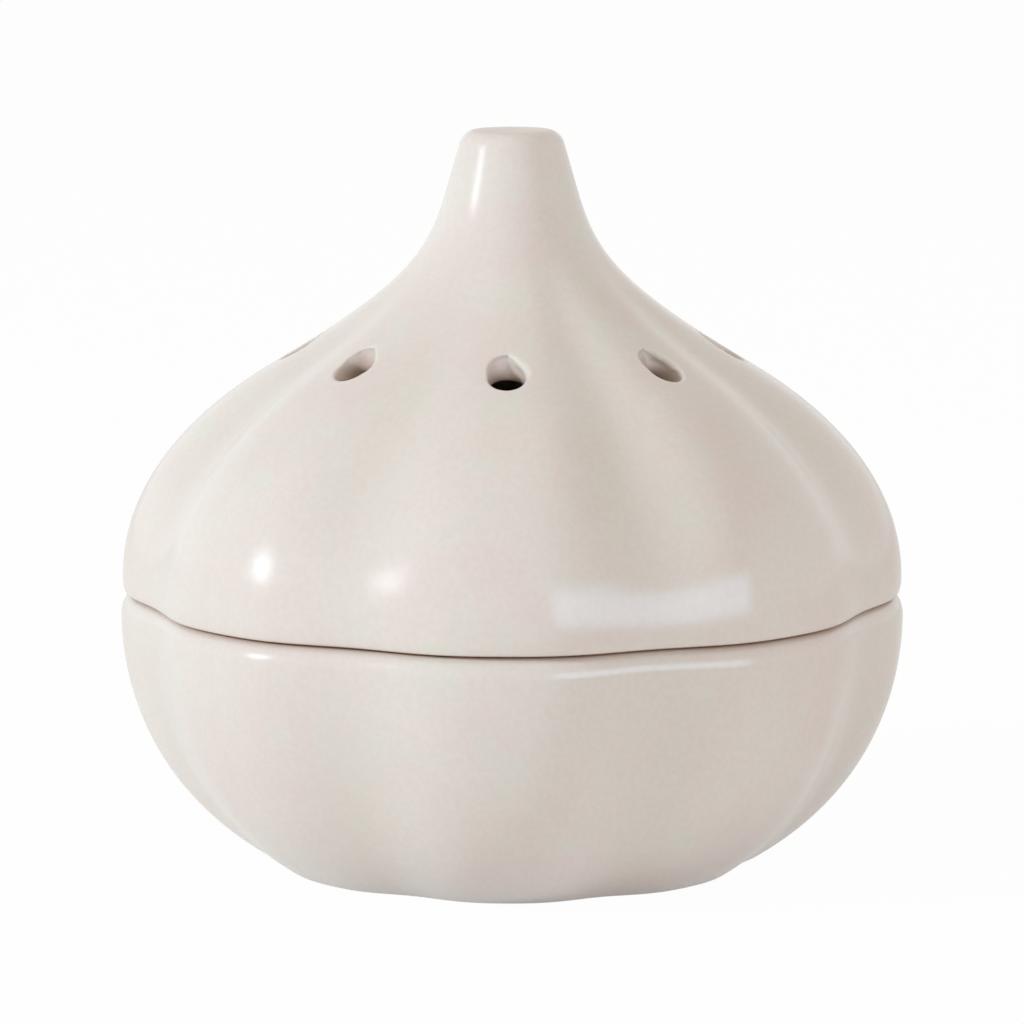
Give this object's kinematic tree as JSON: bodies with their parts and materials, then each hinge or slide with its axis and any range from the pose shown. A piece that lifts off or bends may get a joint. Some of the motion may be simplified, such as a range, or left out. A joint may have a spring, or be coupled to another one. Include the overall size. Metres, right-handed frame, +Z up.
{
  "type": "garlic keeper",
  "caption": "Round lobed ceramic keeper shaped like a head of garlic: a low bowl and a lift-off lid with a stem for a handle and a ring of air vents.",
  "frame": {"origin": "middle of the foot ring's face, on the surface that the keeper stands on", "axes": "+Z up along the axis of the bowl and the lid; the crest of one lobe, with its vent, faces the front, -Y; +X is to the right seen from the front"},
  "size_m": [0.1276, 0.1276, 0.1186],
  "materials": {
    "bowl_glaze": "gloss",
    "lid_glaze": "gloss"
  },
  "bodies": {
    "bowl": {"bowl": "bowl_glaze"},
    "lid": {"lid": "lid_glaze"}
  },
  "joints": [
    {"name": "lid_lift", "type": "slide", "parent": "bowl", "child": "lid", "axis": [0, 0, 1], "range_m": [0, 0.1]}
  ]
}
